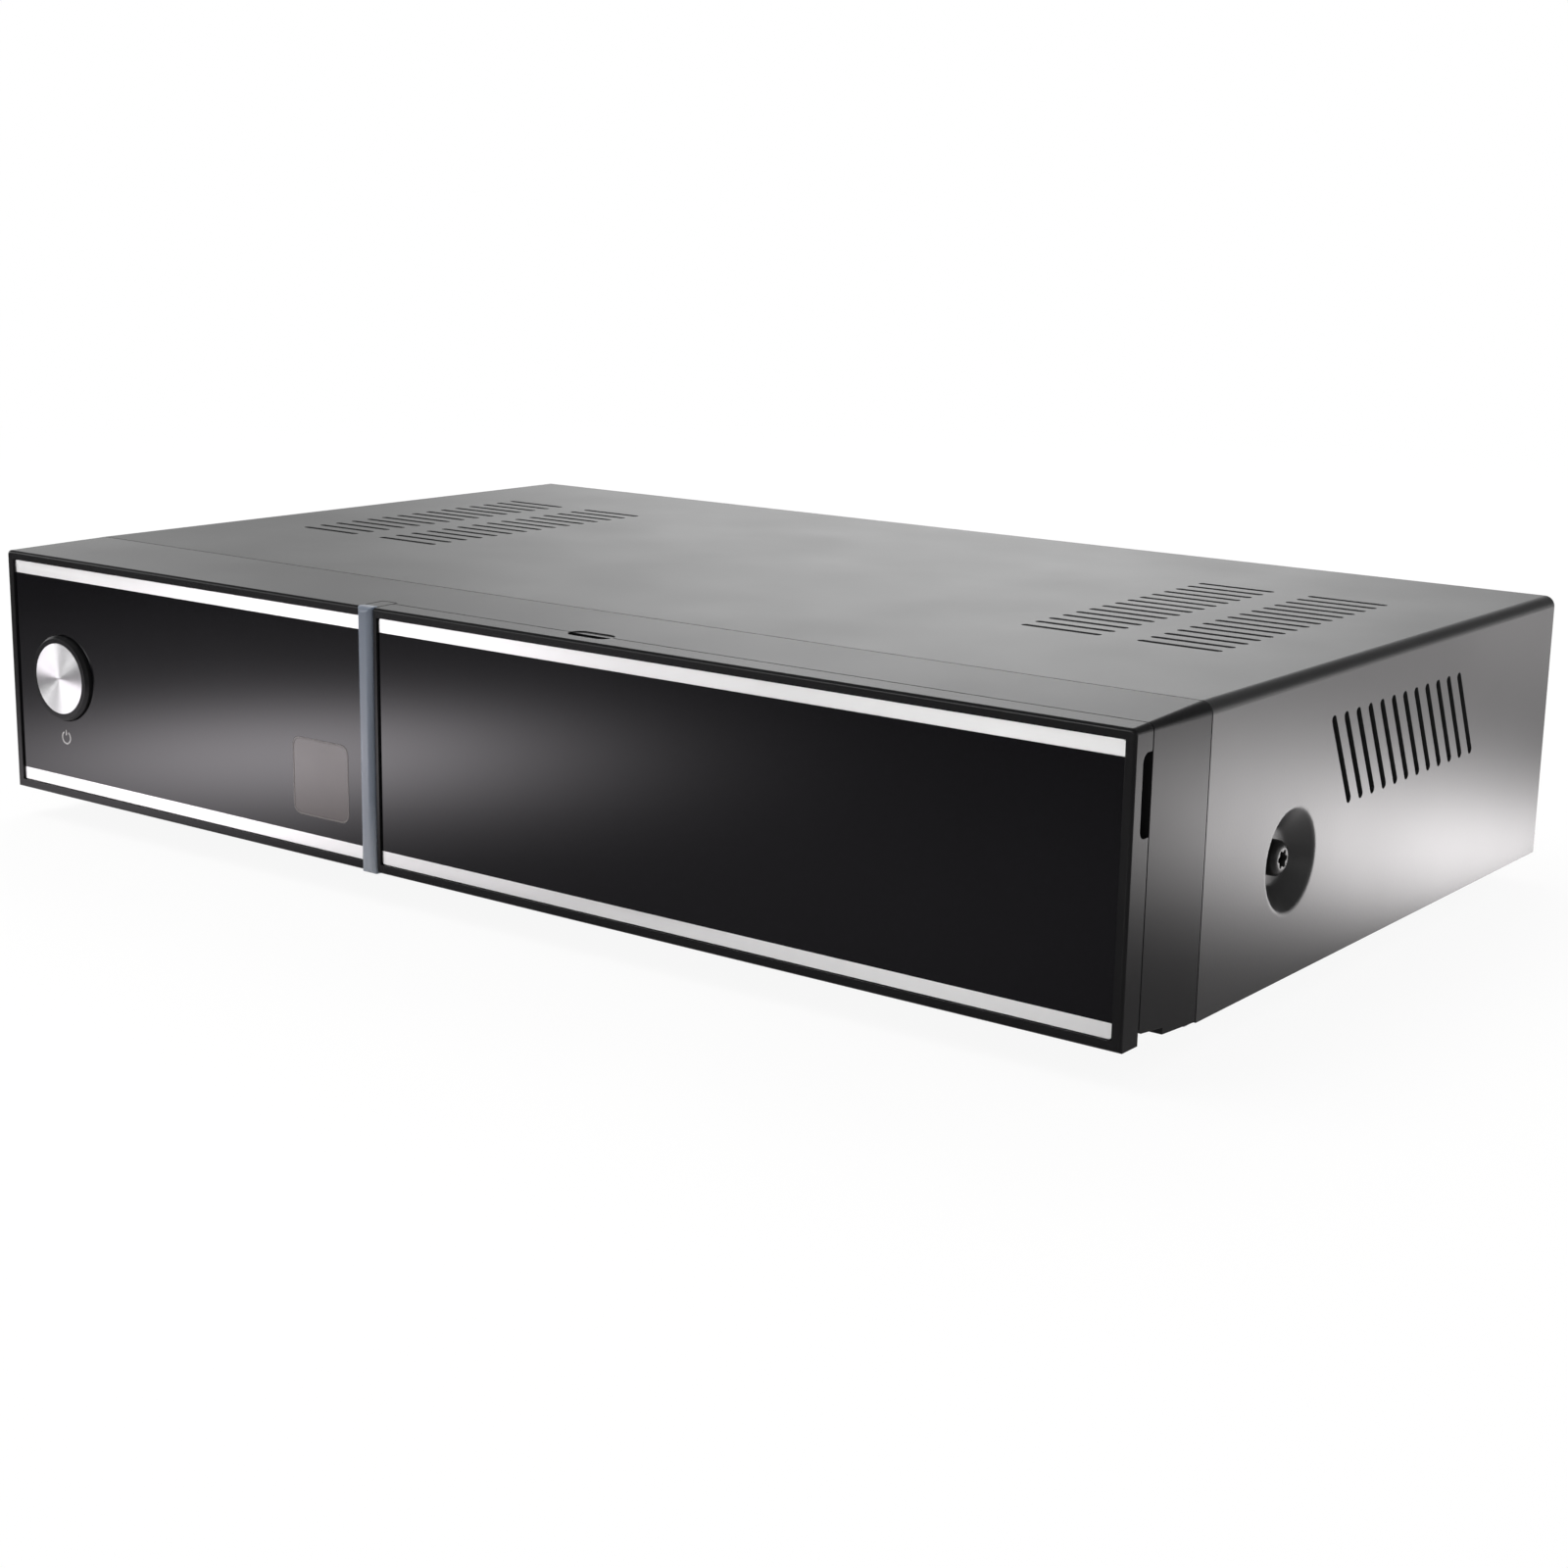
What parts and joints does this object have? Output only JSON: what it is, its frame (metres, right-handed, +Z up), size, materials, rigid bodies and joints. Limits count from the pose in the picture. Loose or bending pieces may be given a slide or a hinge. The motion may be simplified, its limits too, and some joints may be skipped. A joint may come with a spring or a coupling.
{
  "type": "satellite television receiver",
  "caption": "Flat black receiver with a vented steel cover, round push button, light strip and a drop-down flap over card slots; coaxial, video, network and power sockets behind.",
  "frame": {"origin": "middle of the whole object's footprint, on the plane the feet stand on", "axes": "+X to the right seen from the front, +Y from the front to the rear, +Z up"},
  "size_m": [0.26, 0.1714, 0.0554],
  "materials": {
    "cover_paint": "satin",
    "plain_steel": "satin",
    "black_screws": "satin",
    "bright_screws": "gloss",
    "feet_rubber": "matte",
    "front_black": "satin",
    "gloss_black": "gloss",
    "bright_bands": "polished",
    "smoked_window": "translucent gloss",
    "strip_blue_grey": "translucent satin",
    "turned_aluminium": "spun",
    "board_green": "satin",
    "brass": "plain",
    "chip_black": "matte",
    "key_white": "satin",
    "sink_aluminium": "satin",
    "capacitor_sleeve": "gloss",
    "socket_black": "satin",
    "eject_grey": "satin",
    "nickel": "gloss"
  },
  "bodies": {
    "receiver": {"top_cover": "cover_paint", "side_screws": "black_screws", "rear_screws": "black_screws", "chassis": "plain_steel", "feet": "feet_rubber", "foot_screws": "bright_screws", "front_screws": "bright_screws", "front_housing": "front_black", "left_panel": "gloss_black", "left_bands": "bright_bands", "infrared_window": "smoked_window", "light_strip": "strip_blue_grey", "strip_carrier": "front_black", "hinge_pins": "plain_steel", "power_key": "chip_black", "front_board": "board_green", "front_board_screws": "bright_screws", "display_module": "chip_black", "infrared_receiver": "chip_black", "light_bar_leds": "key_white", "board_link": "chip_black", "main_board": "board_green", "standoffs": "brass", "board_screws": "bright_screws", "processor": "chip_black", "heat_sink": "sink_aluminium", "memory_chips": "chip_black", "capacitors": "capacitor_sleeve", "power_coils": "chip_black", "card_reader": "plain_steel", "card_cage": "plain_steel", "front_usb": "plain_steel", "hdmi_socket": "plain_steel", "usb_stack": "plain_steel", "network_socket": "socket_black", "optical_socket": "socket_black", "power_inlet": "socket_black", "rocker_housing": "socket_black", "sat_tuner": "plain_steel", "cable_tuner": "plain_steel", "f_connectors": "nickel", "f_nuts": "nickel", "aerial_socket": "nickel"},
    "flap": {"flap_frame": "front_black", "flap_panel": "gloss_black", "flap_bands": "bright_bands"},
    "power_button": {"power_button_cap": "front_black", "power_button_disc": "turned_aluminium", "power_key_plunger": "key_white"},
    "eject": {"eject_button": "eject_grey"},
    "rocker": {"rocker_cap": "socket_black"},
    "shutter": {"optical_shutter": "socket_black"}
  },
  "joints": [
    {"name": "flap_hinge", "type": "hinge", "parent": "receiver", "child": "flap", "pos_m": [0, -0.07775, 0.009], "axis": [1, 0, 0], "range_deg": [0, 90]},
    {"name": "power_button_slide", "type": "slide", "parent": "receiver", "child": "power_button", "axis": [0, 1, 0], "range_m": [0, 0.0005], "stiffness_N_per_m": 3200},
    {"name": "eject_button_slide", "type": "slide", "parent": "receiver", "child": "eject", "axis": [0, 1, 0], "range_m": [0, 0.005]},
    {"name": "rocker_tilt", "type": "hinge", "parent": "receiver", "child": "rocker", "pos_m": [-0.102, 0.07445, 0.0198], "axis": [1, 0, 0], "range_deg": [0, 20]},
    {"name": "shutter_hinge", "type": "hinge", "parent": "receiver", "child": "shutter", "pos_m": [-0.064, 0.07385, 0.0218], "axis": [-1, 0, 0], "range_deg": [0, 80], "stiffness_Nm_per_rad": 0.0003}
  ]
}
